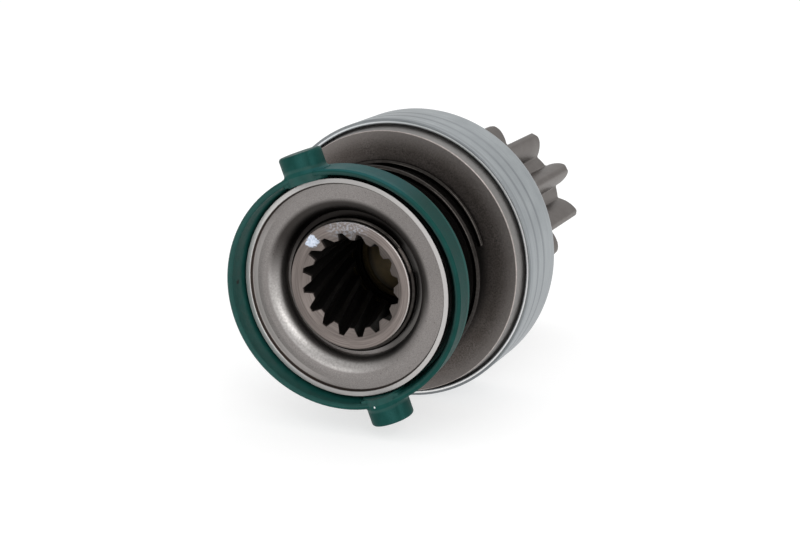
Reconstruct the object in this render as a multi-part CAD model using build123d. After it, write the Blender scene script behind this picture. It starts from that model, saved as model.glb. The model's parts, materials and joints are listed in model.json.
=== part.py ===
from build123d import *
from math import acos, cos, degrees, pi, radians, sin, tan
import os

# Starter drive: a splined sleeve that carries a roller clutch, a shift ring and a pinion.
# It lies on its side. The axis of the drive is +Y, from the splined mouth to the pinion, and
# +Z is up. The origin is the centre of the sleeve's end face. Lengths are in millimetres.
# Angles are in degrees, clockwise from the top as seen from the mouth, looking along +Y.

# Sleeve with its helical spline
spline_teeth = 16
spline_major_radius = 10.1
spline_depth = 1.45
spline_lead = 200.0
spline_phase = 10.0
spline_root_share = 0.245
spline_tip_share = 0.29
spline_relief_depth = 0.4
spline_relief_length = 1.9
mouth_cone_width = 0.65
mouth_cone_angle = 30.0
sleeve_wall = 2.3
sleeve_edge_chamfer = 0.15

# Clutch flange and outer race, one forging with the sleeve
flange_front = 18.8
flange_band_step = 0.4
flange_band_draft = 0.45
flange_edge_chamfer = 0.12
flange_root_fillet = 1.0
web_thickness = 3.9
race_wall = 5.3
race_depth = 12.8
race_bore_clearance = 0.3

# Rollers, their ramps and their springs
roller_count = 5
roller_radius = 4.5
roller_end_clearance = 0.2
roller_edge_chamfer = 0.4
roller_running_clearance = 0.05
roller_phase = 18.0
ramp_angle = 6.0
pocket_side_clearance = 0.5
pocket_spring_room = 5.6
pocket_overrun = 0.8
pocket_spring_wall = 0.4
roller_spring_sheet = 0.3
roller_spring_height = 5.4
roller_spring_inset = 0.9
roller_spring_folds = 4
roller_spring_clearance = 0.12

# Shell around the clutch, with the plate that closes it
shell_sheet = 1.0
shell_fit_clearance = 0.05
shell_setback = 3.0
shell_gap_depth = 1.0
shell_edge_chamfer = 0.25
shell_rear_corner = 2.4
shell_groove_count = 2
shell_groove_depth = 0.07
shell_groove_width = 0.9
shell_groove_setback = 3.9
shell_groove_pitch = 3.6
cover_thickness = 1.1
cover_bore_clearance = 2.4
cover_fit_clearance = 0.1

# Pinion: inner race, neck, collar and teeth in one piece
inner_race_radius = 13.0
inner_race_shoulder = 1.4
inner_race_chamfer = 0.3
neck_length = 17.0
tooth_count = 10
gear_module = 2.75
pressure_angle = 20.0
profile_shift = 0.4
tip_shortening = 0.2
tooth_depth = 4.65
root_fillet = 0.5
tip_round = 0.8
tooth_length = 26.0
tooth_phase = -12.0
tooth_end_rounding = 1.6
collar_length = 4.0
collar_chamfer = 1.0
pinion_bore_chamfer = 0.5

# Bushes pressed into the pinion
bush_bore_radius = 7.5
bush_wall = 1.5
bush_length = 14.5
bush_inset = 0.5
bush_chamfer = 0.3

# Rings that hold the pinion in the clutch
thrust_washer_thickness = 1.0
thrust_washer_setback = 0.2
thrust_washer_width = 2.6
thrust_clearance = 0.05
half_ring_thickness = 1.2
half_ring_overlap = 2.6
half_ring_gap = 0.4
half_ring_clearance = 0.1
seal_width = 3.8
seal_thickness = 1.6
seal_running_clearance = 0.08
seal_lip_depth = 0.35

# Snap ring in the groove at the mouth
snap_wire_radius = 0.75
snap_stand = 0.05
snap_plane = 1.7
snap_gap_from = 50.0
snap_gap_to = 74.0
snap_groove_clearance = 0.01

# Dished stop washer
stop_sheet = 1.0
stop_lip_width = 1.6
stop_bend_radius = 3.8
stop_flat_width = 3.05
stop_dish_depth = 3.85
stop_rim_height = 0.8
stop_rim_width = 0.85
stop_rim_draft = 0.35
stop_snap_clearance = 0.1
slide_clearance = 0.15

# Shift ring with its two pins; it has play on the stop washer and rests tilted
ring_tilt = 5.3
ring_tilt_angle = 4.6
ring_side_clearance = 0.1
ring_rim_clearance = 0.3
ring_web_thickness = 1.2
ring_web_width = 3.8
ring_crest_height = 6.0
ring_crest_width = 1.1
ring_crest_wall = 1.9
ring_crest_round = 0.3
ring_rear_lip_width = 1.0
ring_rear_lip_step = 0.45
ring_groove_width = 0.4
ring_groove_depth = 0.4
pin_radius = 4.15
pin_setback = 3.3
pin_length = 3.6
pin_end_round = 0.6
pin_root_fillet = 0.7
pin_angle = -20.0

# Seat washer and mesh spring
seat_thickness = 1.2
seat_border = 0.4
spring_wire_radius = 0.7
spring_inset = 0.7
spring_front_turns = 0.75
spring_active_turns = 1.6
spring_rear_turns = 0.35
spring_end_angle = 73.5
spring_seat_clearance = 0.02

# Sizes that follow: along the axis
cup_floor = flange_front + web_thickness
spline_end = cup_floor - spline_relief_length
race_rear = cup_floor + race_depth
cover_rear = race_rear + cover_thickness
shell_front = flange_front + shell_setback
shell_rear = cover_rear + shell_sheet
half_ring_rear = race_rear - half_ring_clearance
half_ring_front = half_ring_rear - half_ring_thickness
inner_race_end = half_ring_front - half_ring_clearance
roller_front = cup_floor + roller_end_clearance
roller_length = inner_race_end - roller_end_clearance - roller_front
shank_end = cup_floor + 2 * thrust_clearance + thrust_washer_thickness
collar_start = shell_rear + neck_length
teeth_start = collar_start + collar_length
pinion_end = teeth_start + tooth_length
lip_front = snap_plane + snap_wire_radius + stop_snap_clearance
lip_rear = lip_front + stop_sheet
stop_face = lip_front - stop_dish_depth
stop_rim_front = stop_face - stop_rim_height
stop_back = stop_face + stop_sheet

# Sizes that follow: across the axis
spline_minor_radius = spline_major_radius - spline_depth
spline_relief_radius = spline_major_radius + spline_relief_depth
mouth_radius = spline_major_radius + mouth_cone_width
sleeve_radius = spline_major_radius + sleeve_wall
snap_centre_radius = sleeve_radius + snap_stand
slide_bore_radius = sleeve_radius + slide_clearance
stop_throat_radius = slide_bore_radius + stop_lip_width
stop_outer_throat = stop_throat_radius + stop_sheet
stop_bend_start = stop_throat_radius + stop_bend_radius
stop_radius = stop_bend_start + stop_flat_width
ring_hole_radius = stop_radius + ring_rim_clearance
ring_bore_radius = ring_hole_radius - ring_web_width
ring_crest_radius = ring_hole_radius + ring_crest_wall
ring_rear_lip_radius = ring_crest_radius - ring_rear_lip_step
pin_reach = ring_crest_radius + pin_length
spring_mean_radius = stop_radius - spring_inset
seat_radius = spring_mean_radius + spring_wire_radius + seat_border
race_bore_radius = inner_race_radius + race_bore_clearance
roller_centre_radius = inner_race_radius + roller_radius + roller_running_clearance
ramp_radius = roller_centre_radius + roller_radius + roller_running_clearance
race_radius = ramp_radius + race_wall
flange_band_radius = race_radius - flange_band_step
shell_inner_radius = race_radius + shell_fit_clearance
shell_radius = shell_inner_radius + shell_sheet
neck_radius = inner_race_radius - inner_race_shoulder
cover_bore_radius = neck_radius + cover_bore_clearance
shell_opening_radius = neck_radius + seal_width
half_ring_radius = inner_race_radius + half_ring_overlap
pinion_bore_radius = bush_bore_radius + bush_wall
pitch_radius = gear_module * tooth_count / 2
tip_radius = pitch_radius + gear_module * (1 + profile_shift) - tip_shortening
root_radius = tip_radius - tooth_depth

# Sizes that follow: the tilted shift ring, which leans back on one side and forward on the other
ring_lean = sin(radians(ring_tilt))
ring_front = stop_back + ring_side_clearance + ring_hole_radius * ring_lean
ring_rear = ring_front + ring_web_thickness
ring_crest_front = ring_front - ring_crest_height
pin_plane = ring_crest_front + pin_setback
seat_front = ring_rear + seat_radius * ring_lean + ring_side_clearance
seat_rear = seat_front + seat_thickness


def across(y):
    """Plane across the drive axis: its x is up, its y is to the right, angles run clockwise."""
    return Plane(origin=(0, y, 0), x_dir=(0, 0, 1), z_dir=(0, 1, 0))


def polar(radius, angle):
    return (radius * cos(radians(angle)), radius * sin(radians(angle)))


def turned(outline):
    """Body of revolution about the drive axis; the outline holds radius and place along it."""
    return revolve(make_face(outline), Axis.Y)


def turned_polygon(*points):
    return turned(Polyline(*points, close=True))


def tube(inner, outer, front, rear, edge=0.0):
    """Ring of rectangular section, its four edges broken by a chamfer."""
    points = [
        (inner + edge, front),
        (outer - edge, front),
        (outer, front + edge),
        (outer, rear - edge),
        (outer - edge, rear),
        (inner + edge, rear),
        (inner, rear - edge),
        (inner, front + edge),
    ]
    if edge == 0:
        points = [(inner, front), (outer, front), (outer, rear), (inner, rear)]
    return turned_polygon(*points)


def spline_bore():
    """Bore with sixteen helical grooves, as one twisted solid from the mouth to its relief."""
    pitch = 360 / spline_teeth
    half_root = pitch * spline_root_share / 2
    half_tip = pitch * spline_tip_share / 2
    edges = []
    for index in range(spline_teeth):
        middle = spline_phase + index * pitch
        tip_end = polar(spline_minor_radius, middle - pitch / 2 + half_tip)
        root_start = polar(spline_major_radius, middle - half_root)
        root_middle = polar(spline_major_radius, middle)
        root_end = polar(spline_major_radius, middle + half_root)
        next_tip = polar(spline_minor_radius, middle + pitch / 2 - half_tip)
        tip_middle = polar(spline_minor_radius, middle + pitch / 2)
        tip_far = polar(spline_minor_radius, middle + pitch / 2 + half_tip)
        edges.append(Line(tip_end, root_start))
        edges.append(ThreePointArc(root_start, root_middle, root_end))
        edges.append(Line(root_end, next_tip))
        edges.append(ThreePointArc(next_tip, tip_middle, tip_far))
    section = across(0) * make_face(edges)
    twist = 360 * spline_end / spline_lead
    face = section.faces()[0]
    return Part() + Solid.extrude_linear_with_rotation(face, (0, 0, 0), (0, spline_end, 0), twist)


def roller_pocket():
    """Pocket of one roller: a ramp that narrows to one side and room for the spring behind."""
    narrow = -(roller_radius + pocket_side_clearance)
    wide = roller_radius + pocket_spring_room
    slope = tan(radians(ramp_angle))
    points = [
        (race_bore_radius - pocket_overrun, narrow),
        (ramp_radius + narrow * slope, narrow),
        (ramp_radius + roller_radius * slope, roller_radius),
        (ramp_radius + roller_radius * slope, wide),
        (race_bore_radius + pocket_spring_wall, wide),
        (race_bore_radius - pocket_overrun, roller_radius),
    ]
    return extrude(across(cup_floor) * make_face(Polyline(*points, close=True)), race_depth)


def around(shape, index):
    """Copy of a piece at the place of one roller."""
    return Rotation(0, roller_phase + index * 360 / roller_count, 0) * shape


def driver():
    """Sleeve, clutch flange and outer race, forged in one piece."""
    groove_radius = snap_wire_radius + snap_groove_clearance
    groove_half = (groove_radius**2 - (snap_centre_radius - sleeve_radius) ** 2) ** 0.5
    band_end = shell_front + shell_gap_depth
    band_front_radius = flange_band_radius - flange_band_draft
    outline = [
        Polyline(
            (0, 0),
            (sleeve_radius - sleeve_edge_chamfer, 0),
            (sleeve_radius, sleeve_edge_chamfer),
            (sleeve_radius, snap_plane - groove_half),
        ),
        ThreePointArc(
            (sleeve_radius, snap_plane - groove_half),
            (snap_centre_radius - groove_radius, snap_plane),
            (sleeve_radius, snap_plane + groove_half),
        ),
        Polyline(
            (sleeve_radius, snap_plane + groove_half),
            (sleeve_radius, flange_front - flange_root_fillet),
        ),
        CenterArc(
            (sleeve_radius + flange_root_fillet, flange_front - flange_root_fillet), flange_root_fillet, 90, 90
        ),
        Polyline(
            (sleeve_radius + flange_root_fillet, flange_front),
            (band_front_radius - flange_edge_chamfer, flange_front),
            (band_front_radius, flange_front + flange_edge_chamfer),
            (flange_band_radius, band_end),
            (race_radius, band_end + flange_band_step),
            (race_radius, race_rear),
            (0, race_rear),
            (0, 0),
        ),
    ]
    body = turned(outline)
    body -= tube(0, race_bore_radius, cup_floor, race_rear)
    body -= tube(0, spline_relief_radius, spline_end, cup_floor)
    body -= spline_bore()
    body -= turned_polygon((0, 0), (mouth_radius, 0), (0, mouth_radius * tan(radians(mouth_cone_angle))))
    body -= tube(0, half_ring_radius + half_ring_clearance, inner_race_end, race_rear)
    for index in range(roller_count):
        body -= around(roller_pocket(), index)
    return body


def roller():
    """Clutch roller, beside the narrow end of its ramp."""
    centre = across(roller_front) * Pos(roller_centre_radius, 0)
    cylinder = extrude(centre * Circle(roller_radius), roller_length)
    return chamfer(cylinder.edges(), roller_edge_chamfer)


def roller_spring():
    """Folded strip that pushes a roller towards the narrow end of its ramp."""
    start = roller_radius + roller_spring_clearance + roller_spring_sheet / 2
    end = roller_radius + pocket_spring_room - roller_spring_clearance - roller_spring_sheet / 2
    step = (end - start) / roller_spring_folds
    low = roller_centre_radius - roller_spring_height / 2
    points = []
    for fold in range(roller_spring_folds + 1):
        side = roller_spring_height if fold % 2 else 0
        points.append((low + side, start + fold * step))
    strip = trace(Polyline(*points), roller_spring_sheet)
    width = roller_length - 2 * roller_spring_inset
    return extrude(across(roller_front + roller_spring_inset) * strip, width)


def pinion_section():
    """Outline of the toothed part: involute flanks as arcs, their feet and tips rounded."""
    base_radius = pitch_radius * cos(radians(pressure_angle))
    thickness = gear_module * (pi / 2 + 2 * profile_shift * tan(radians(pressure_angle)))

    def involute(angle):
        return tan(angle) - angle

    def half_angle(radius):
        roll = acos(min(1.0, base_radius / radius))
        share = thickness / (2 * pitch_radius) + involute(radians(pressure_angle)) - involute(roll)
        return degrees(share)

    middle_radius = (root_radius + tip_radius) / 2
    pitch = 360 / tooth_count
    edges = []
    for index in range(tooth_count):
        tooth = tooth_phase + index * pitch
        rising = [polar(r, tooth - half_angle(r)) for r in (root_radius, middle_radius, tip_radius)]
        falling = [polar(r, tooth + half_angle(r)) for r in (tip_radius, middle_radius, root_radius)]
        next_root = polar(root_radius, tooth + pitch - half_angle(root_radius))
        edges.append(ThreePointArc(*rising))
        edges.append(ThreePointArc(rising[-1], polar(tip_radius, tooth), falling[0]))
        edges.append(ThreePointArc(*falling))
        edges.append(ThreePointArc(falling[-1], polar(root_radius, tooth + pitch / 2), next_root))
    section = make_face(edges)
    feet = section.vertices().filter_by(lambda corner: Vector(corner).length < middle_radius)
    section = fillet(feet, root_fillet)
    tips = section.vertices().filter_by(lambda corner: Vector(corner).length > tip_radius - root_fillet)
    return fillet(tips, tip_round)


def rounded_blank(start, end):
    """Cylinder over the tooth tips, its free end rounded, that trims the ends of the teeth."""
    corner = (tip_radius - tooth_end_rounding * (1 - cos(radians(45))),
              end - tooth_end_rounding * (1 - sin(radians(45))))
    return turned([
        Polyline((0, end), (0, start), (tip_radius, start), (tip_radius, end - tooth_end_rounding)),
        ThreePointArc((tip_radius, end - tooth_end_rounding), corner, (tip_radius - tooth_end_rounding, end)),
        Line((tip_radius - tooth_end_rounding, end), (0, end)),
    ])


def pinion():
    """Inner race, neck, collar and straight teeth, with a through bore for the bushes."""
    section = pinion_section()
    teeth = extrude(across(teeth_start) * section, tooth_length)
    teeth &= rounded_blank(teeth_start, pinion_end)
    stem = turned_polygon(
        (0, shank_end),
        (inner_race_radius - inner_race_chamfer, shank_end),
        (inner_race_radius, shank_end + inner_race_chamfer),
        (inner_race_radius, inner_race_end),
        (neck_radius, inner_race_end),
        (neck_radius, collar_start),
        (tip_radius - collar_chamfer, collar_start),
        (tip_radius, collar_start + collar_chamfer),
        (tip_radius, teeth_start - collar_chamfer),
        (tip_radius - collar_chamfer, teeth_start),
        (0, teeth_start),
    )
    body = stem + teeth
    bore = turned_polygon(
        (0, shank_end),
        (pinion_bore_radius, shank_end),
        (pinion_bore_radius, pinion_end - pinion_bore_chamfer),
        (pinion_bore_radius + pinion_bore_chamfer, pinion_end),
        (0, pinion_end),
    )
    return body - bore


def bush(front):
    return tube(bush_bore_radius, pinion_bore_radius, front, front + bush_length, bush_chamfer)


def thrust_washer():
    """Washer between the web of the clutch and the shank of the pinion."""
    outer = inner_race_radius - thrust_washer_setback
    inner = outer - thrust_washer_width
    return tube(inner, outer, cup_floor + thrust_clearance, shank_end - thrust_clearance)


def half_ring(side):
    """Half of the split ring that holds the shoulder of the inner race inside the clutch."""
    ring = tube(neck_radius + half_ring_clearance, half_ring_radius, half_ring_front, half_ring_rear)
    room = 2 * half_ring_radius
    block = Box(room, 2 * pinion_end, room, align=(Align.MIN, Align.CENTER, Align.CENTER))
    half = ring & (Pos(half_ring_gap / 2, 0, 0) * block)
    return Rotation(0, 180 * side, 0) * half


def shell():
    """Drawn steel shell around the race, open to the front, with two shallow rolled grooves."""
    corner = shell_rear_corner
    middle = corner * (1 - cos(radians(45)))
    inner_corner = corner - shell_sheet
    inner_middle = inner_corner * (1 - cos(radians(45)))
    points = [
        (shell_inner_radius, shell_front),
        (shell_radius - shell_edge_chamfer, shell_front),
        (shell_radius, shell_front + shell_edge_chamfer),
    ]
    for index in range(shell_groove_count):
        place = shell_front + shell_groove_setback + index * shell_groove_pitch
        points.append((shell_radius, place - shell_groove_width / 2))
        points.append((shell_radius - shell_groove_depth, place))
        points.append((shell_radius, place + shell_groove_width / 2))
    points.append((shell_radius, shell_rear - corner))
    return turned([
        Polyline(*points),
        ThreePointArc(
            (shell_radius, shell_rear - corner),
            (shell_radius - middle, shell_rear - middle),
            (shell_radius - corner, shell_rear),
        ),
        Polyline(
            (shell_radius - corner, shell_rear),
            (shell_opening_radius, shell_rear),
            (shell_opening_radius, cover_rear),
            (shell_inner_radius - inner_corner, cover_rear),
        ),
        ThreePointArc(
            (shell_inner_radius - inner_corner, cover_rear),
            (shell_inner_radius - inner_middle, cover_rear - inner_middle),
            (shell_inner_radius, cover_rear - inner_corner),
        ),
        Line((shell_inner_radius, cover_rear - inner_corner), (shell_inner_radius, shell_front)),
    ])


def cover_plate():
    """Plate that closes the race, its outer edge broken to sit in the corner of the shell."""
    break_edge = shell_rear_corner - shell_sheet
    outer = shell_inner_radius - cover_fit_clearance
    return turned_polygon(
        (cover_bore_radius, race_rear),
        (outer, race_rear),
        (outer - break_edge, cover_rear),
        (cover_bore_radius, cover_rear),
    )


def seal():
    """Sealing ring on the neck, in the opening of the shell."""
    inner = neck_radius + seal_running_clearance
    outer = shell_opening_radius - seal_running_clearance
    rear = cover_rear + seal_thickness
    return turned_polygon(
        (inner + seal_lip_depth, cover_rear),
        (outer, cover_rear),
        (outer, rear - seal_lip_depth),
        (outer - seal_lip_depth, rear),
        (inner, rear),
        (inner, rear - seal_lip_depth),
    )


def snap_ring():
    """Round wire ring in the groove of the sleeve, open on the right."""
    start = across(snap_plane) * Pos(*polar(snap_centre_radius, snap_gap_to))
    section = Plane(
        origin=start.position,
        x_dir=(start.position.X, 0, start.position.Z),
        z_dir=Vector(0, 1, 0).cross(Vector(start.position.X, 0, start.position.Z)),
    )
    turn = 360 - (snap_gap_to - snap_gap_from)
    return revolve(section * Circle(snap_wire_radius), Axis.Y, turn)


def stop_washer():
    """Dished washer: a turned-up rim, a flat ring and a throat that ends in a small lip."""
    bend = stop_bend_start - stop_throat_radius
    bend_plane = stop_face + bend
    diagonal = sin(radians(45))
    rim_inner = stop_radius - stop_rim_width
    return turned([
        Polyline(
            (stop_throat_radius, bend_plane),
            (stop_throat_radius, lip_front),
            (slide_bore_radius, lip_front),
            (slide_bore_radius, lip_rear),
            (stop_outer_throat, lip_rear),
            (stop_outer_throat, bend_plane),
        ),
        ThreePointArc(
            (stop_outer_throat, bend_plane),
            (stop_bend_start - (bend - stop_sheet) * diagonal, bend_plane - (bend - stop_sheet) * diagonal),
            (stop_bend_start, stop_back),
        ),
        Polyline(
            (stop_bend_start, stop_back),
            (stop_radius, stop_back),
            (stop_radius, stop_rim_front),
            (rim_inner, stop_rim_front),
            (rim_inner - stop_rim_draft, stop_face),
            (stop_bend_start, stop_face),
        ),
        ThreePointArc(
            (stop_bend_start, stop_face),
            (stop_bend_start - bend * diagonal, bend_plane - bend * diagonal),
            (stop_throat_radius, bend_plane),
        ),
    ])


def pin():
    """Round pin along +Y from the middle of the ring, its end rounded."""
    return turned([
        Polyline(
            (pin_radius, pin_reach - pin_end_round),
            (pin_radius, 0),
            (0, 0),
            (0, pin_reach),
            (pin_radius - pin_end_round, pin_reach),
        ),
        CenterArc((pin_radius - pin_end_round, pin_reach - pin_end_round), pin_end_round, 0, 90),
    ])


def pin_root():
    """Hollow flare around the foot of a pin along +Y, where it meets the ring's outer face."""
    foot = (ring_crest_radius**2 - pin_radius**2) ** 0.5
    shoulder = foot + pin_root_fillet
    outer = pin_radius + pin_root_fillet
    return turned([
        CenterArc((outer, shoulder), pin_root_fillet, 180, 90),
        Polyline((outer, foot), (outer, ring_hole_radius), (0, ring_hole_radius), (0, shoulder), (pin_radius, shoulder)),
    ])


def shift_ring():
    """Moulded ring with two pins; the stop washer sits in its front, the fork holds the pins."""
    groove_rear = ring_rear - ring_rear_lip_width
    groove_front = groove_rear - ring_groove_width
    crest_inner_radius = ring_crest_radius - ring_crest_width
    crest = ring_crest_round
    body = turned_polygon(
        (ring_bore_radius, ring_front),
        (ring_hole_radius, ring_front),
        (crest_inner_radius, ring_crest_front + crest),
        (crest_inner_radius + crest, ring_crest_front),
        (ring_crest_radius - crest, ring_crest_front),
        (ring_crest_radius, ring_crest_front + crest),
        (ring_crest_radius, groove_front),
        (ring_rear_lip_radius - ring_groove_depth, groove_front),
        (ring_rear_lip_radius - ring_groove_depth, groove_rear),
        (ring_rear_lip_radius, groove_rear),
        (ring_rear_lip_radius, ring_rear),
        (ring_bore_radius, ring_rear),
    )
    thickness = tube(0, pin_reach, ring_crest_front + crest, ring_rear)
    pins = Part()
    for side in (0, 180):
        place = Pos(0, pin_plane, 0) * Rotation(0, pin_angle + side, 0) * Rotation(90, 0, 0)
        pins += place * pin()
        pins += (place * pin_root()) & thickness
    pins -= tube(0, ring_hole_radius, -2 * pin_reach, 2 * pin_reach)
    tilt = radians(ring_tilt_angle)
    tilt_axis = Axis((0, pin_plane, 0), (sin(tilt), 0, cos(tilt)))
    return (body + pins).rotate(tilt_axis, ring_tilt)


def seat_washer():
    return tube(slide_bore_radius, seat_radius, seat_front, seat_rear)


def mesh_spring():
    """Coil spring between the seat washer and the flange, its end turns closed flat."""
    first = seat_rear + spring_seat_clearance + spring_wire_radius
    last = flange_front - spring_seat_clearance - spring_wire_radius
    front_closed = 360 * spring_front_turns
    active = 360 * spring_active_turns
    rear_closed = 360 * spring_rear_turns
    start = spring_end_angle - front_closed - active - rear_closed
    pitch = (last - first) / spring_active_turns
    front_turn = across(first) * CenterArc((0, 0), spring_mean_radius, start, front_closed)
    rise = Rotation(0, start + front_closed, 0) * Helix(
        pitch, last - first, spring_mean_radius, center=(0, first, 0), direction=(0, 1, 0)
    )
    rear_start = spring_end_angle - rear_closed
    rear_turn = across(last) * CenterArc((0, 0), spring_mean_radius, rear_start, rear_closed)
    path = Wire([front_turn.edges()[0], rise.edges()[0], rear_turn.edges()[0]])
    section = Plane(origin=path @ 0, z_dir=path % 0) * Circle(spring_wire_radius)
    return sweep(section, path=path)


def build():
    """Every piece under the name of its node."""
    pieces = {
        "driver": driver(),
        "shell": shell(),
        "cover_plate": cover_plate(),
        "seal_ring": seal(),
        "thrust_washer": thrust_washer(),
        "pinion": pinion(),
        "rear_bush": bush(shank_end + bush_inset),
        "front_bush": bush(pinion_end - bush_inset - bush_length),
        "half_ring_left": half_ring(1),
        "half_ring_right": half_ring(0),
        "snap_ring": snap_ring(),
        "stop_washer": stop_washer(),
        "shift_ring": shift_ring(),
        "seat_washer": seat_washer(),
        "mesh_spring": mesh_spring(),
    }
    for index in range(roller_count):
        pieces[f"roller_{index + 1}"] = around(roller(), index)
        pieces[f"roller_spring_{index + 1}"] = around(roller_spring(), index)
    return pieces


os.makedirs("parts", exist_ok=True)
for name, piece in build().items():
    piece.label = name
    export_step(piece, f"parts/{name}.step")
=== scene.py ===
import json
from math import cos, radians, sin

import bpy
from mathutils import Matrix, Vector


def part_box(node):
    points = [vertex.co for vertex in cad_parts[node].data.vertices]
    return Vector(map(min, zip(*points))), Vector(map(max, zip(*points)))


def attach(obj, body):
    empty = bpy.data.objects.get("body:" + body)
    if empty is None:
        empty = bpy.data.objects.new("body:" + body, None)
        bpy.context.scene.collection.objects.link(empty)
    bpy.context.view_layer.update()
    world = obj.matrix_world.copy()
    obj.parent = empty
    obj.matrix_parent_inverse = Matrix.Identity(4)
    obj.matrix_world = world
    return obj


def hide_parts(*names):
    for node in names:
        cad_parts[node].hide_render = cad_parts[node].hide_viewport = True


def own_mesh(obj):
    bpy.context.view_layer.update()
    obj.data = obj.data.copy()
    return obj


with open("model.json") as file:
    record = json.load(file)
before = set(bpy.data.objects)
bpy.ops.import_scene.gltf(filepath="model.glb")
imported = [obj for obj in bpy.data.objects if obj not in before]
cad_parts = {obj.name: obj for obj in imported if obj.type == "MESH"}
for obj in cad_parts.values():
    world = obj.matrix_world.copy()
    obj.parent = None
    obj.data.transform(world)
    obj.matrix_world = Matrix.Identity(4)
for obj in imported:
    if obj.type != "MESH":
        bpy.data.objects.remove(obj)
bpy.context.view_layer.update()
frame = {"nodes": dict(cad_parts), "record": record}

# Camera: where it stands round the part, and how far the rim of the stop washer lies from its axis
CAMERA_AZIMUTH = radians(24.05)
CAMERA_ELEVATION = radians(14.82)
CAMERA_DISTANCE = 0.29904
CAMERA_LENS = 72.0
CAMERA_SENSOR = 36.0
CAMERA_NEAREST = 0.01
CAMERA_FARTHEST = 20.0
RIM_LEFT = 0.010416
RIM_BELOW = 0.004084
RIM_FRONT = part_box("stop_washer")[0].y

# Studio: soft lights (name, place, width, height, power), the world's light and the pale floor
LIGHTS = (
    ("key", (0.43, -0.53, 0.33), 0.22, 0.60, 1.3),
    ("fill", (-0.24, -0.71, 0.22), 0.14, 0.42, 0.35),
    ("top", (0.10, 0.35, 0.65), 0.50, 0.50, 0.6),
)
LIGHTS_TARGET = (0.0, 0.02, 0.0)
WORLD_STRENGTH = 0.80
FLOOR_HALF_SIDE = 4.0
FLOOR_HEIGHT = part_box("shell")[0].z
FLOOR_GLOW = 0.62

# Sizes of the part, in millimetres in its own frame
MM = 1000.0
SLEEVE_RADIUS = 12.4
CONE_RADIUS = 10.75
CONE_SLOPE = 1.732
FLANGE_FRONT = 18.8
FLANGE_RADIUS = 26.55
SHELL_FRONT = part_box("shell")[0].y * MM
SHELL_GROOVES = (25.9, 29.5)

# Where tones lie, in the same millimetres. RADII are measured from the axis and PLACES along it.
# In a pair the tone begins at the first number and is full at the second.
CONE_RADII = (8.0, 8.2)
SLEEVE_FACE_RADII = (10.3, 10.6)
SLEEVE_FACE_PLACES = (0.35, 0.2)
SLEEVE_EDGE_PLACES = (0.3, 0.15)
MOUTH_OIL_AND_SHADE_RADII = (11.3, 10.6)
COVERED_RADII = (22.0, 19.0)
COVERED_PLACES = (0.15, 0.3)
FLANGE_OUTER_PALE_RADII = (22.5, 27.0)
DISH_SHADE_RADIUS = 15.4
DISH_HIGHLIGHT_RADIUS = 15.8
DISH_FOOT_RADIUS = 19.3
DISH_SLOPE_RADII = (17.3, 16.2)
THROAT_RADII = (15.7, 14.9)
WASHER_RIM_PLACES = (-1.6, -1.95)
WASHER_WALL_REAR_PLACES = (-1.36, -1.5)
WASHER_WALL_FRONT_PLACES = (-2.05, -1.9)
RING_SIDE_RADIUS = 23.1
RING_CREST_RADIUS = 23.2
RING_HOLLOW_RADII = (23.2, 22.3)
RING_SIDE_PLACES = (-2.6, -1.6)
RING_REAR_PLACES = (2.4, 2.8)
PIN_RADII = (23.8, 24.3)
SHELL_CORNER_PLACE = 22.6
SHELL_LIP_RADIUS = 27.75
PINION_OIL_AND_SHADE_PLACES = (26.0, 24.5)
BUSH_OIL_AND_SHADE_REAR_PLACES = (27.0, 24.8)
BUSH_OIL_AND_SHADE_FRONT_PLACES = (20.0, 21.0)

# Marks on the surfaces, in the same millimetres
PAINT_DAB = (-7.8, 0.0, 7.9)
PAINT_DAB_SIZE = 1.3
STREAK = (-0.4, 0.0, 13.3)
STREAK_REACH = (6.0, 3.5)
WASHER_NICK = (-19.0, -1.3, 6.95)
WASHER_NICK_SIZE = 0.22
RING_STAIN = (-21.6, -4.1, -0.6)
RING_STAIN_SIZE = 0.5
PIN_SPECK = (7.1, -4.1, -21.8)
PIN_SPECK_SIZE = 0.2

# Painted light: places round the axis that the materials leave paler or darker than the rest, in
# degrees clockwise from the top, and two pale stripes along the pins, in millimetres beside their
# axis. They were set after the light in the photograph. They belong to the surface and don't
# follow the lights, so they keep their place when the view or the light changes.
SLEEVE_FACE_DARKER = 270.0
SLEEVE_EDGE_PALER = 60.0
FLANGE_DARKER = 40.0
DISH_DARKER = 272.0
DISH_PALER = 215.0
DISH_FOOT_PALER = 250.0
WASHER_DARKER = 52.0
WASHER_SLOPE_DARKER = 12.0
THROAT_DARKER = 48.0
THROAT_LESS_DARK = 100.0
RIM_PALER_LEFT = 265.0
RIM_PALER_RIGHT = 85.0
RING_CREST_PALER = 10.0
RING_HOLLOW_DARKER = 60.0
RING_RIGHT_SIDE = 80.0
SHELL_LOWER_RIGHT = 130.0
PIN_ANGLE = radians(-20.0)
WIDE_GLEAM_BESIDE = 1.8
THIN_GLEAM_BESIDE = 3.4

# Colours of the driver
PHOSPHATE_DARK = (0.080, 0.068, 0.062)
PHOSPHATE_PALE = (0.24, 0.21, 0.195)
PHOSPHATE_CLOUD = (0.12, 0.10, 0.088)
MACHINED_DARK = (0.15, 0.128, 0.118)
MACHINED_PALE = (0.255, 0.22, 0.204)
DRIVER_SHADE = (0.02, 0.018, 0.017)
DRIVER_OIL_AND_SHADE = (0.035, 0.032, 0.030)
FLANGE_OUTER_PALE = (0.30, 0.28, 0.27)
FLANGE_BAND = (0.34, 0.33, 0.322)
FLANGE_EDGE_HIGHLIGHT = (0.60, 0.54, 0.51)
SLEEVE_EDGE_HIGHLIGHT = (0.55, 0.51, 0.49)
STREAK_GREY = (0.33, 0.335, 0.36)
PAINT_DARK = (0.45, 0.52, 0.62)
PAINT_PALE = (0.85, 0.90, 1.0)

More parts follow.
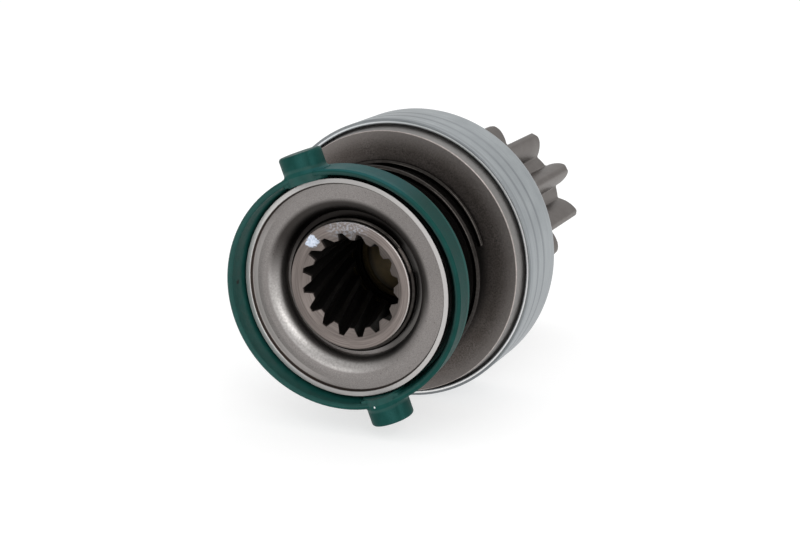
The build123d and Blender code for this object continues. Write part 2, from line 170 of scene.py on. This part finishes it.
# Colours of the stop washer
WASHER_DARK = (0.175, 0.162, 0.155)
WASHER_PALE = (0.285, 0.266, 0.257)
WASHER_PIT = (0.08, 0.07, 0.065)
WASHER_SHADE = (0.03, 0.026, 0.024)
DISH_SHADE = (0.05, 0.046, 0.044)
DISH_HIGHLIGHT = (0.52, 0.50, 0.485)
DISH_FOOT_HIGHLIGHT = (0.50, 0.47, 0.455)
THROAT_SHADE_DARKEST = (0.018, 0.016, 0.015)
THROAT_SHADE_PALEST = (0.11, 0.104, 0.099)
RIM_BARE = (0.38, 0.368, 0.36)
RIM_HIGHLIGHT_LEFT = (0.77, 0.75, 0.735)
RIM_HIGHLIGHT_RIGHT = (0.48, 0.465, 0.455)
RIM_WALL_SHADE = (0.07, 0.055, 0.048)
NICK_WHITE = (0.9, 0.9, 0.9)

# Colours and specular levels of the shift ring
PLASTIC_DARK = (0.0045, 0.048, 0.041)
PLASTIC_PALE = (0.0085, 0.067, 0.058)
PLASTIC_SHADE = (0.001, 0.012, 0.011)
PLASTIC_SIDE_SHADE = (0.001, 0.010, 0.009)
PLASTIC_HOLLOW_SHADE = (0.002, 0.012, 0.011)
PLASTIC_GLEAM = (0.03, 0.125, 0.118)
PLASTIC_CREST_HIGHLIGHT = (0.030, 0.125, 0.140)
PLASTIC_REAR_EDGE_HIGHLIGHT = (0.03, 0.14, 0.125)
PLASTIC_STAIN = (0.001, 0.008, 0.007)
PLASTIC_SPECK = (0.75, 0.80, 0.80)
PLASTIC_SPECULAR = 0.24
PLASTIC_SIDE_SPECULAR = 0.07

# Colours of the shell
ZINC_DARK = (0.37, 0.40, 0.415)
ZINC_PALE = (0.49, 0.52, 0.53)
ZINC_LINE = (0.26, 0.28, 0.30)
ZINC_SHADE = (0.20, 0.215, 0.23)
ZINC_DIP_SHADE = (0.22, 0.235, 0.25)
ZINC_FRONT_DARK = (0.14, 0.145, 0.15)
ZINC_LIP_HIGHLIGHT = (0.70, 0.73, 0.74)
ZINC_LIP_HIGHLIGHT_BRIGHT = (1.0, 1.0, 1.0)

# Colours of the pinion, the spring wire, the rollers, the bushes and the seal
PINION_DARK = (0.120, 0.108, 0.101)
PINION_PALE = (0.215, 0.196, 0.183)
PINION_CLOUD = (0.11, 0.095, 0.087)
PINION_OIL_AND_SHADE = (0.010, 0.009, 0.008)
WIRE_DARK = (0.026, 0.023, 0.021)
WIRE_PALE = (0.044, 0.040, 0.037)
ROLLER_DARK = (0.52, 0.52, 0.52)
ROLLER_PALE = (0.62, 0.62, 0.62)
BRONZE_DARK = (0.20, 0.145, 0.06)
BRONZE_PALE = (0.36, 0.27, 0.12)
BRONZE_CLOUD = (0.12, 0.095, 0.05)
BRONZE_OIL_AND_SHADE = (0.020, 0.016, 0.010)
RUBBER_DARK = (0.014, 0.014, 0.014)
RUBBER_PALE = (0.03, 0.03, 0.03)


class Look:
    """Procedural material with coordinates in millimetres in the part's own frame."""

    def __init__(self, name, roughness, metallic, specular=0.5):
        self.material = bpy.data.materials.new(name)
        self.material.use_nodes = True
        self.nodes = self.material.node_tree.nodes
        self.links = self.material.node_tree.links
        self.shader = self.nodes["Principled BSDF"]
        self.shader.inputs["Metallic"].default_value = metallic
        self.shader.inputs["Roughness"].default_value = roughness
        self.shader.inputs["Specular IOR Level"].default_value = specular
        place = self.nodes.new("ShaderNodeTexCoord").outputs["Object"]
        self.place = self.scaled(place, MM)
        split = self.nodes.new("ShaderNodeSeparateXYZ")
        self.links.new(self.place, split.inputs[0])
        self.x, self.y, self.z = split.outputs
        squares = self.math("ADD", self.times(self.x, self.x), self.times(self.z, self.z))
        self.radius = self.math("SQRT", squares)
        self.angle = self.math("ARCTAN2", self.x, self.z)

    def feed(self, socket, value):
        """Link a socket, or set a number or colour on it."""
        if isinstance(value, bpy.types.NodeSocket):
            self.links.new(value, socket)
        elif isinstance(value, tuple) and len(value) == 3 and socket.type == "RGBA":
            socket.default_value = (*value, 1.0)
        else:
            socket.default_value = value

    def math(self, operation, a, b=0.0):
        node = self.nodes.new("ShaderNodeMath")
        node.operation = operation
        self.feed(node.inputs[0], a)
        self.feed(node.inputs[1], b)
        return node.outputs[0]

    def times(self, first, *others):
        """Product of two or more values."""
        product = first
        for other in others:
            product = self.math("MULTIPLY", product, other)
        return product

    def weighted(self, a, a_share, b, b_share):
        """Sum of two values, each times its share."""
        return self.math("ADD", self.times(a, a_share), self.times(b, b_share))

    def scaled(self, vector, factor):
        node = self.nodes.new("ShaderNodeVectorMath")
        node.operation = "SCALE"
        self.feed(node.inputs[0], vector)
        node.inputs["Scale"].default_value = factor
        return node.outputs["Vector"]

    def distance(self, place):
        node = self.nodes.new("ShaderNodeVectorMath")
        node.operation = "DISTANCE"
        self.feed(node.inputs[0], self.place)
        node.inputs[1].default_value = place
        return node.outputs["Value"]

    def combine(self, x, y, z):
        node = self.nodes.new("ShaderNodeCombineXYZ")
        for socket, value in zip(node.inputs, (x, y, z)):
            self.feed(socket, value)
        return node.outputs[0]

    def noise(self, per_mm, detail=3.0, place=None):
        octave_share = 0.55
        node = self.nodes.new("ShaderNodeTexNoise")
        self.feed(node.inputs["Vector"], place or self.place)
        node.inputs["Scale"].default_value = per_mm
        node.inputs["Detail"].default_value = detail
        node.inputs["Roughness"].default_value = octave_share
        return node.outputs["Fac"]

    def turned(self, per_mm):
        """Fine rings as a lathe leaves them on a face, uneven around the axis."""
        return self.noise(per_mm, 2.0, self.combine(self.radius, self.times(self.angle, 0.4), 0.0))

    def drawn(self, per_mm):
        """Fine lines around the axis, along the outside of a drawn or turned piece."""
        return self.noise(per_mm, 2.0, self.combine(self.y, self.times(self.angle, 0.5), 0.0))

    def facing(self, angle):
        """Cosine between a point's place around the axis and an angle, clockwise from the top."""
        turn = radians(angle)
        return self.math("DIVIDE", self.weighted(self.x, sin(turn), self.z, cos(turn)), self.radius)

    def away(self, value, centre):
        """How far a value lies from a centre."""
        return self.math("ABSOLUTE", self.math("SUBTRACT", value, centre))

    def near(self, value, centre, half_width):
        """One where a value lies close to a centre, zero a little farther off."""
        return self.ramp(self.away(value, centre), 1.3 * half_width, 0.7 * half_width)

    def ramp(self, value, low, high):
        """Zero up to low, one from high on and smooth between; either may be the larger number."""
        node = self.nodes.new("ShaderNodeMapRange")
        node.interpolation_type = "SMOOTHSTEP"
        for socket, part in zip(node.inputs, (value, low, high, 0.0, 1.0)):
            self.feed(socket, part)
        return node.outputs[0]

    def spread(self, value, low, high):
        """The usual span of a noise as numbers from low to high."""
        noise_low = 0.3
        noise_high = 0.7
        node = self.nodes.new("ShaderNodeMapRange")
        for socket, part in zip(node.inputs, (value, noise_low, noise_high, low, high)):
            self.feed(socket, part)
        return node.outputs[0]

    def blend(self, share, a, b):
        """Colour a where the share is zero, colour b where it is one."""
        node = self.nodes.new("ShaderNodeMix")
        node.data_type = "RGBA"
        self.feed(node.inputs[0], share)
        self.feed(node.inputs[6], a)
        self.feed(node.inputs[7], b)
        return node.outputs[2]

    def pick(self, share, a, b):
        """Number a where the share is zero, number b where it is one."""
        node = self.nodes.new("ShaderNodeMix")
        self.feed(node.inputs[0], share)
        self.feed(node.inputs[2], a)
        self.feed(node.inputs[3], b)
        return node.outputs[0]

    def blot(self, centre, size, raggedness, noise):
        """One inside a ragged blot around a place, zero outside it."""
        away = self.math("DIVIDE", self.distance(centre), size)
        ragged = self.math("ADD", away, self.spread(noise, -raggedness, raggedness))
        return self.math("SUBTRACT", 1.0, self.ramp(ragged, 0.8, 1.1))

    def finish(self, color, roughness, height, depth, edge):
        """Colour, roughness and relief; edge is the radius of softened edges, zero for none."""
        self.feed(self.shader.inputs["Base Color"], color)
        self.feed(self.shader.inputs["Roughness"], roughness)
        bump = self.nodes.new("ShaderNodeBump")
        bump.inputs["Strength"].default_value = 1.0
        bump.inputs["Distance"].default_value = depth / MM
        self.feed(bump.inputs["Height"], height)
        if edge > 0.0:
            bevel = self.nodes.new("ShaderNodeBevel")
            bevel.samples = 4
            bevel.inputs["Radius"].default_value = edge / MM
            self.links.new(bevel.outputs[0], bump.inputs["Normal"])
        self.links.new(bump.outputs[0], self.shader.inputs["Normal"])
        return self.material


def flange_tones(look, color, grain):
    """The flange's face, with painted shade on one side, paler towards the rim, a paler band and a painted
    highlight on the band's edge.
    """
    on_flange = look.ramp(look.y, FLANGE_FRONT - 0.8, FLANGE_FRONT - 0.3)
    outer = look.ramp(look.radius, *FLANGE_OUTER_PALE_RADII)
    inner = look.math("SUBTRACT", 1.0, outer)
    # Painted shade: the inner face is darker on the upper right.
    flange_shade = look.times(look.ramp(look.facing(FLANGE_DARKER), -0.2, 0.5), inner)
    color = look.blend(look.times(flange_shade, on_flange, 0.4), color, DRIVER_SHADE)
    # The face is paler towards the rim.
    color = look.blend(look.times(outer, on_flange, 0.45), color, FLANGE_OUTER_PALE)
    band = look.times(look.ramp(look.radius, FLANGE_RADIUS - 0.25, FLANGE_RADIUS - 0.1),
                      look.ramp(look.y, FLANGE_FRONT + 0.1, FLANGE_FRONT + 0.3))
    color = look.blend(look.times(band, look.spread(grain, 0.5, 1.0)), color, FLANGE_BAND)
    # Painted highlight: a bright thin line along the front edge of the band, broken up by noise.
    edge_highlight = look.times(look.near(look.radius, FLANGE_RADIUS, 0.1),
                           look.near(look.y, FLANGE_FRONT + 0.05, 0.2),
                           look.spread(look.noise(1.5, 3.0), 0.45, 1.0))
    return look.blend(edge_highlight, color, FLANGE_EDGE_HIGHLIGHT)


def forged_steel():
    """Dark phosphated driver, its sleeve face machined bright, with a paint dab and a rough streak."""
    look = Look("forged steel", 0.5, 1.0)
    grain = look.noise(3.2, 5.0)
    skin = look.blend(look.spread(grain, 0.0, 1.0), PHOSPHATE_DARK, PHOSPHATE_PALE)
    skin = look.blend(look.spread(look.noise(0.25, 3.0), 0.0, 0.5), skin, PHOSPHATE_CLOUD)
    machined = look.blend(look.spread(look.turned(4.0), 0.0, 1.0), MACHINED_DARK, MACHINED_PALE)
    # Painted shade: the machined sleeve face is darker on the left.
    darker = look.ramp(look.facing(SLEEVE_FACE_DARKER), 0.2, 0.9)
    machined = look.blend(look.times(darker, 0.18), machined, DRIVER_SHADE)
    cone = look.math("ADD", look.radius, look.times(look.y, CONE_SLOPE))
    on_cone = look.times(look.ramp(cone, CONE_RADIUS + 0.4, CONE_RADIUS + 0.15),
                         look.ramp(look.radius, *CONE_RADII))
    on_face = look.times(look.ramp(look.y, *SLEEVE_FACE_PLACES), look.ramp(look.radius, *SLEEVE_FACE_RADII))
    at_face = look.math("MAXIMUM", on_cone, on_face)
    color = look.blend(at_face, skin, machined)
    # Oil and painted shade: the mouth of the bore and the sleeve behind the washer are darkened.
    deep = look.times(look.ramp(cone, CONE_RADIUS + 0.3, CONE_RADIUS + 1.3),
                      look.ramp(look.radius, *MOUTH_OIL_AND_SHADE_RADII))
    behind_washer = look.times(look.ramp(look.y, *COVERED_PLACES), look.ramp(look.radius, *COVERED_RADII),
                               look.ramp(look.radius, SLEEVE_RADIUS - 0.25, SLEEVE_RADIUS - 0.05))
    color = look.blend(look.math("MAXIMUM", deep, behind_washer), color, DRIVER_OIL_AND_SHADE)
    color = flange_tones(look, color, grain)
    # Painted highlight: a pale line along the sleeve's front edge on the upper right.
    sleeve_edge = look.times(look.near(look.radius, SLEEVE_RADIUS - 0.1, 0.1),
                             look.ramp(look.y, *SLEEVE_EDGE_PLACES),
                             look.ramp(look.facing(SLEEVE_EDGE_PALER), 0.0, 0.6))
    color = look.blend(sleeve_edge, color, SLEEVE_EDGE_HIGHLIGHT)
    streak = look.times(look.ramp(look.noise(2.0, 4.0), 0.45, 0.62),
                        look.ramp(look.distance(STREAK), *STREAK_REACH))
    color = look.blend(look.times(streak, at_face), color, STREAK_GREY)
    dab = look.times(look.blot(PAINT_DAB, PAINT_DAB_SIZE, 0.35, look.noise(1.2, 3.0)), at_face)
    paint = look.blend(look.spread(look.noise(2.0, 3.0), 0.0, 1.0), PAINT_DARK, PAINT_PALE)
    color = look.blend(dab, color, paint)
    roughness = look.pick(at_face, look.spread(grain, 0.45, 0.62), look.spread(grain, 0.34, 0.46))
    roughness = look.pick(dab, roughness, 0.6)
    height = look.math("ADD", grain, look.times(look.turned(3.0), 0.5))
    return look.finish(color, roughness, height, 0.012, 0.18)


def dish_tones(look, color):
    """The washer's dish in painted light: highlights on its bend and at the foot of the rim, and painted
    shade in patches and towards the throat.
    """
    fine = look.noise(2.5, 4.0)
    # Painted shade: the bend of the dish is darker on the left.
    dished = look.times(look.near(look.radius, DISH_SHADE_RADIUS, 0.8),
                        look.ramp(look.facing(DISH_DARKER), 0.3, 0.95), look.spread(fine, 0.15, 0.45))
    color = look.blend(dished, color, DISH_SHADE)
    # Painted highlight: a bright band on the bend of the dish, on the lower left.
    dish_highlight = look.times(look.near(look.radius, DISH_HIGHLIGHT_RADIUS, 0.9),
                           look.ramp(look.facing(DISH_PALER), 0.2, 0.9), look.spread(fine, 0.4, 1.0))
    color = look.blend(dish_highlight, color, DISH_HIGHLIGHT)
    # Painted shade: the washer is darker on the upper right.
    turned_away = look.ramp(look.facing(WASHER_DARKER), 0.7, 0.97)
    color = look.blend(look.times(turned_away, 0.16), color, WASHER_SHADE)
    # Painted highlight: a pale ring near the foot of the rim, on the lower left.
    foot = look.times(look.near(look.radius, DISH_FOOT_RADIUS, 0.5),
                      look.ramp(look.facing(DISH_FOOT_PALER), 0.4, 0.95))
    color = look.blend(look.times(foot, 0.8), color, DISH_FOOT_HIGHLIGHT)
    # Painted shade: the slope into the throat is darker on its upper side.
    shaded = look.times(look.ramp(look.radius, *DISH_SLOPE_RADII),
                        look.ramp(look.facing(WASHER_SLOPE_DARKER), -0.3, 0.4))
    color = look.blend(look.times(shaded, 0.92), color, WASHER_SHADE)
    # Painted shade: the throat is dark on its upper right and less dark towards the right.
    throat = look.times(look.ramp(look.radius, *THROAT_RADII),
                        look.ramp(look.facing(THROAT_DARKER), -0.5, 0.0))
    less_dark = look.ramp(look.facing(THROAT_LESS_DARK), 0.3, 0.95)
    return look.blend(throat, color, look.blend(less_dark, THROAT_SHADE_DARKEST, THROAT_SHADE_PALEST))


def washer_steel():
    """Satin pressed steel with fine grain, brighter on its rim, with painted light on the rim, its wall and
    the dish.
    """
    look = Look("washer steel", 0.4, 1.0)
    grain = look.noise(6.0, 4.0)
    rings = look.turned(1.6)
    color = look.blend(look.spread(grain, 0.0, 1.0), WASHER_DARK, WASHER_PALE)
    pits = look.ramp(look.noise(1.6, 1.0), 0.70, 0.76)
    color = look.blend(look.times(pits, 0.6), color, WASHER_PIT)
    color = dish_tones(look, color)
    # The rim's own paler colour, with painted highlights on its left and right.
    rim_bare_and_highlights = look.blend(look.ramp(look.facing(RIM_PALER_LEFT), 0.15, 0.95), RIM_BARE, RIM_HIGHLIGHT_LEFT)
    rim_bare_and_highlights = look.blend(look.ramp(look.facing(RIM_PALER_RIGHT), 0.2, 0.9), rim_bare_and_highlights, RIM_HIGHLIGHT_RIGHT)
    color = look.blend(look.ramp(look.y, *WASHER_RIM_PLACES), color, rim_bare_and_highlights)
    # Painted shade: a dark line on the inner wall of the rim.
    wall = look.times(look.ramp(look.y, *WASHER_WALL_REAR_PLACES),
                      look.ramp(look.y, *WASHER_WALL_FRONT_PLACES))
    color = look.blend(wall, color, RIM_WALL_SHADE)
    nick = look.blot(WASHER_NICK, WASHER_NICK_SIZE, 0.3, look.noise(3.0))
    color = look.blend(nick, color, NICK_WHITE)
    roughness = look.spread(look.weighted(grain, 0.5, rings, 0.5), 0.32, 0.46)
    return look.finish(color, roughness, look.weighted(grain, 0.6, rings, 0.4), 0.014, 0.15)


def ring_tones(look, color, grain, side, on_pin):
    """Painted light on the ring: highlight stripes and shade on the pins, a highlight on the crest, shade in
    the hollow and on the right side, and a highlight on the rear edge there.
    """
    # Painted highlights: two pale stripes along the pins, with painted shade over the pins.
    across = look.weighted(look.x, cos(PIN_ANGLE), look.z, -sin(PIN_ANGLE))
    wide_gleam = look.ramp(look.away(across, WIDE_GLEAM_BESIDE), 1.5, 0.0)
    thin_gleam = look.ramp(look.away(across, THIN_GLEAM_BESIDE), 0.6, 0.0)
    gleam = look.times(look.math("MAXIMUM", wide_gleam, thin_gleam), on_pin,
                       look.spread(grain, 0.15, 0.35))
    color = look.blend(look.times(on_pin, 0.2), color, PLASTIC_SHADE)
    color = look.blend(gleam, color, PLASTIC_GLEAM)
    # Painted highlight: the crest is paler at the top.
    on_top = look.times(look.ramp(look.facing(RING_CREST_PALER), 0.85, 0.98),
                        look.near(look.radius, RING_CREST_RADIUS, 0.3))
    color = look.blend(look.times(on_top, 0.4), color, PLASTIC_CREST_HIGHLIGHT)
    # Painted shade: the hollow inside the crest is dark on the upper right.
    hollow = look.times(look.ramp(look.radius, *RING_HOLLOW_RADII),
                        look.ramp(look.facing(RING_HOLLOW_DARKER), 0.1, 0.7))
    color = look.blend(look.times(hollow, 0.62), color, PLASTIC_HOLLOW_SHADE)
    # Painted shade: the ring's outside is darker on the right.
    right_side = look.times(side, look.ramp(look.facing(RING_RIGHT_SIDE), 0.0, 0.7))
    beside = look.times(right_side, look.ramp(look.y, *RING_SIDE_PLACES))
    color = look.blend(look.times(beside, 0.3), color, PLASTIC_SIDE_SHADE)
    # Painted highlight: a pale rear edge on the right side.
    rear_edge = look.times(right_side, look.ramp(look.y, *RING_REAR_PLACES))
    return look.blend(look.times(rear_edge, 0.35), color, PLASTIC_REAR_EDGE_HIGHLIGHT)


def green_plastic():
    """Dark green moulded plastic, slightly mottled, satin, with a stain and a speck."""
    look = Look("green plastic", 0.4, 0.0, PLASTIC_SPECULAR)
    mottle = look.noise(0.5, 4.0)
    grain = look.noise(4.0, 4.0)
    color = look.blend(look.spread(mottle, 0.0, 1.0), PLASTIC_DARK, PLASTIC_PALE)
    side = look.near(look.radius, RING_SIDE_RADIUS, 0.4)
    on_pin = look.ramp(look.radius, *PIN_RADII)
    color = ring_tones(look, color, grain, side, on_pin)
    specular = look.pick(look.math("MAXIMUM", side, on_pin), PLASTIC_SPECULAR, PLASTIC_SIDE_SPECULAR)
    look.feed(look.shader.inputs["Specular IOR Level"], specular)
    stain = look.blot(RING_STAIN, RING_STAIN_SIZE, 0.4, look.noise(2.5))
    color = look.blend(stain, color, PLASTIC_STAIN)
    speck = look.blot(PIN_SPECK, PIN_SPECK_SIZE, 0.3, look.noise(4.0))
    color = look.blend(speck, color, PLASTIC_SPECK)
    roughness = look.spread(look.weighted(mottle, 0.6, grain, 0.4), 0.36, 0.54)
    return look.finish(color, roughness, look.math("ADD", grain, mottle), 0.010, 0.2)


def zinc_steel():
    """Blue-grey zinc plate over fine drawing lines, with painted shade on its lower right and in its dips, a
    darker front face and a painted highlight on its lip.
    """
    look = Look("zinc plated steel", 0.4, 1.0)
    lines = look.drawn(5.0)
    cloud = look.noise(0.2, 4.0)
    grain = look.noise(5.0, 3.0)
    color = look.blend(look.spread(cloud, 0.0, 1.0), ZINC_DARK, ZINC_PALE)
    color = look.blend(look.spread(lines, 0.0, 0.6), color, ZINC_LINE)
    # Painted shade: the shell is darker on the lower right.
    lower_right = look.facing(SHELL_LOWER_RIGHT)
    color = look.blend(look.times(look.ramp(lower_right, 0.3, 1.0), 0.4), color, ZINC_SHADE)
    # Painted shade in the shallow grooves and at the corner near the front.
    for place in SHELL_GROOVES:
        color = look.blend(look.times(look.near(look.y, place, 0.55), 0.5), color, ZINC_DIP_SHADE)
    color = look.blend(look.times(look.near(look.y, SHELL_CORNER_PLACE, 0.45), 0.45), color, ZINC_DIP_SHADE)
    # The front end face is darker.
    front = look.ramp(look.y, SHELL_FRONT + 0.25, SHELL_FRONT + 0.1)
    color = look.blend(look.times(front, 0.5), color, ZINC_FRONT_DARK)
    # Painted highlight: a bright line on the lip, brightest on the lower right.
    lip = look.times(look.near(look.radius, SHELL_LIP_RADIUS, 0.15), front)
    tone = look.blend(look.ramp(lower_right, -0.2, 0.8), ZINC_LIP_HIGHLIGHT, ZINC_LIP_HIGHLIGHT_BRIGHT)
    color = look.blend(lip, color, tone)
    roughness = look.spread(look.weighted(cloud, 0.5, grain, 0.5), 0.36, 0.52)
    return look.finish(color, roughness, look.weighted(lines, 0.7, grain, 0.3), 0.010, 0.4)


def pinion_steel():
    """Hardened steel with a warm grey satin skin and fine grain, its front end dark with oil and painted
    shade.
    """
    look = Look("pinion steel", 0.45, 1.0)
    grain = look.noise(5.0, 4.0)
    color = look.blend(look.spread(grain, 0.0, 1.0), PINION_DARK, PINION_PALE)
    color = look.blend(look.spread(look.noise(0.3, 3.0), 0.0, 0.45), color, PINION_CLOUD)
    # Oil and painted shade: the front end inside the bore is dark.
    color = look.blend(look.ramp(look.y, *PINION_OIL_AND_SHADE_PLACES), color, PINION_OIL_AND_SHADE)
    return look.finish(color, look.spread(grain, 0.38, 0.52), grain, 0.012, 0.25)


def spring_steel():
    """Oiled spring wire, nearly black, with a thin shine along it."""
    look = Look("spring steel", 0.2, 1.0)
    grain = look.noise(1.5, 3.0)
    color = look.blend(look.spread(grain, 0.0, 1.0), WIRE_DARK, WIRE_PALE)
    return look.finish(color, look.spread(grain, 0.12, 0.19), grain, 0.002, 0.0)


def roller_steel():
    """Ground roller steel."""
    look = Look("roller steel", 0.2, 1.0)
    lines = look.noise(6.0, 3.0)
    color = look.blend(look.spread(lines, 0.0, 1.0), ROLLER_DARK, ROLLER_PALE)
    return look.finish(color, look.spread(lines, 0.16, 0.28), lines, 0.003, 0.1)


def bronze():
    """Sintered bronze with fine pores, dark with oil and painted shade at the front of the pinion."""
    look = Look("bronze", 0.45, 1.0)
    pores = look.noise(5.0, 4.0)
    color = look.blend(look.spread(pores, 0.0, 1.0), BRONZE_DARK, BRONZE_PALE)
    color = look.blend(look.spread(look.noise(0.4, 3.0), 0.0, 0.5), color, BRONZE_CLOUD)
    # Oil and painted shade: the bush is darker round the front of the pinion.
    oil_and_shade = look.times(look.ramp(look.y, *BUSH_OIL_AND_SHADE_REAR_PLACES), look.ramp(look.y, *BUSH_OIL_AND_SHADE_FRONT_PLACES))
    color = look.blend(look.times(oil_and_shade, 0.8), color, BRONZE_OIL_AND_SHADE)
    return look.finish(color, look.spread(pores, 0.36, 0.55), pores, 0.012, 0.1)


def seal_rubber():
    """Black rubber, matt with a fine moulded skin."""
    look = Look("seal rubber", 0.7, 0.0, 0.4)
    skin = look.noise(4.0, 4.0)
    color = look.blend(look.spread(skin, 0.0, 1.0), RUBBER_DARK, RUBBER_PALE)
    return look.finish(color, look.spread(skin, 0.6, 0.8), skin, 0.01, 0.1)


def dress_nodes():
    """Every CAD node gets the finish of the slot that the record gives it."""
    finishes = {
        "forged_steel": forged_steel(),
        "washer_steel": washer_steel(),
        "green_plastic": green_plastic(),
        "zinc_steel": zinc_steel(),
        "pinion_steel": pinion_steel(),
        "spring_steel": spring_steel(),
        "roller_steel": roller_steel(),
        "bronze": bronze(),
        "seal_rubber": seal_rubber(),
    }
    for part in frame["record"]["subparts"]:
        piece = frame["nodes"][part["node"]]
        piece.data.materials.clear()
        piece.data.materials.append(finishes[part["material_slot"]])


def closing_coil():
    """The mesh spring again as a piece of its own, carried by the clutch body, with the CAD node hidden."""
    node = frame["nodes"]["mesh_spring"]
    coil = bpy.data.objects.new("coil_spring", node.data.copy())
    bpy.context.scene.collection.objects.link(coil)
    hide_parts("mesh_spring")
    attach(coil, "clutch")
    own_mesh(coil)


def floor():
    """Wide pale floor that glows a little, level with the lowest point of the shell."""
    size = FLOOR_HALF_SIDE
    mesh = bpy.data.meshes.new("floor")
    corners = [(-size, -size, 0), (size, -size, 0), (size, size, 0), (-size, size, 0)]
    mesh.from_pydata(corners, [], [(0, 1, 2, 3)])
    piece = bpy.data.objects.new("floor", mesh)
    piece.location.z = FLOOR_HEIGHT
    bpy.context.scene.collection.objects.link(piece)
    paint = bpy.data.materials.new("floor")
    paint.use_nodes = True
    shader = paint.node_tree.nodes["Principled BSDF"]
    shader.inputs["Base Color"].default_value = (0.5, 0.5, 0.5, 1.0)
    shader.inputs["Roughness"].default_value = 0.9
    shader.inputs["Specular IOR Level"].default_value = 0.1
    shader.inputs["Emission Color"].default_value = (1.0, 1.0, 1.0, 1.0)
    shader.inputs["Emission Strength"].default_value = FLOOR_GLOW
    mesh.materials.append(paint)


def soft_light(name, place, width, height, power):
    light = bpy.data.lights.new(name, "AREA")
    light.shape = "RECTANGLE"
    light.size = width
    light.size_y = height
    light.energy = power
    lamp = bpy.data.objects.new(name, light)
    lamp.location = place
    lamp.rotation_euler = (Vector(LIGHTS_TARGET) - Vector(place)).to_track_quat("-Z", "Y").to_euler()
    bpy.context.scene.collection.objects.link(lamp)


def studio():
    """White surroundings and the soft lights."""
    world = bpy.data.worlds.new("studio")
    world.use_nodes = True
    surroundings = world.node_tree.nodes["Background"]
    surroundings.inputs["Color"].default_value = (1.0, 1.0, 1.0, 1.0)
    surroundings.inputs["Strength"].default_value = WORLD_STRENGTH
    bpy.context.scene.world = world
    for light in LIGHTS:
        soft_light(*light)
    bpy.context.scene.view_settings.view_transform = "Standard"


def camera():
    """The photograph's camera, level, aimed beside the rim of the stop washer."""
    right = Vector((cos(CAMERA_AZIMUTH), sin(CAMERA_AZIMUTH), 0.0))
    forward = Vector((
        -sin(CAMERA_AZIMUTH) * cos(CAMERA_ELEVATION),
        cos(CAMERA_AZIMUTH) * cos(CAMERA_ELEVATION),
        -sin(CAMERA_ELEVATION),
    ))
    up = right.cross(forward)
    place = Vector((0.0, RIM_FRONT, 0.0)) + right * RIM_LEFT + up * RIM_BELOW - forward * CAMERA_DISTANCE
    turn = Matrix((right, up, -forward)).transposed()
    data = bpy.data.cameras.new("camera")
    data.lens = CAMERA_LENS
    data.sensor_width = CAMERA_SENSOR
    data.clip_start = CAMERA_NEAREST
    data.clip_end = CAMERA_FARTHEST
    eye = bpy.data.objects.new("camera", data)
    eye.matrix_world = Matrix.Translation(place) @ turn.to_4x4()
    bpy.context.scene.collection.objects.link(eye)
    bpy.context.scene.camera = eye


dress_nodes()
closing_coil()
floor()
studio()
camera()
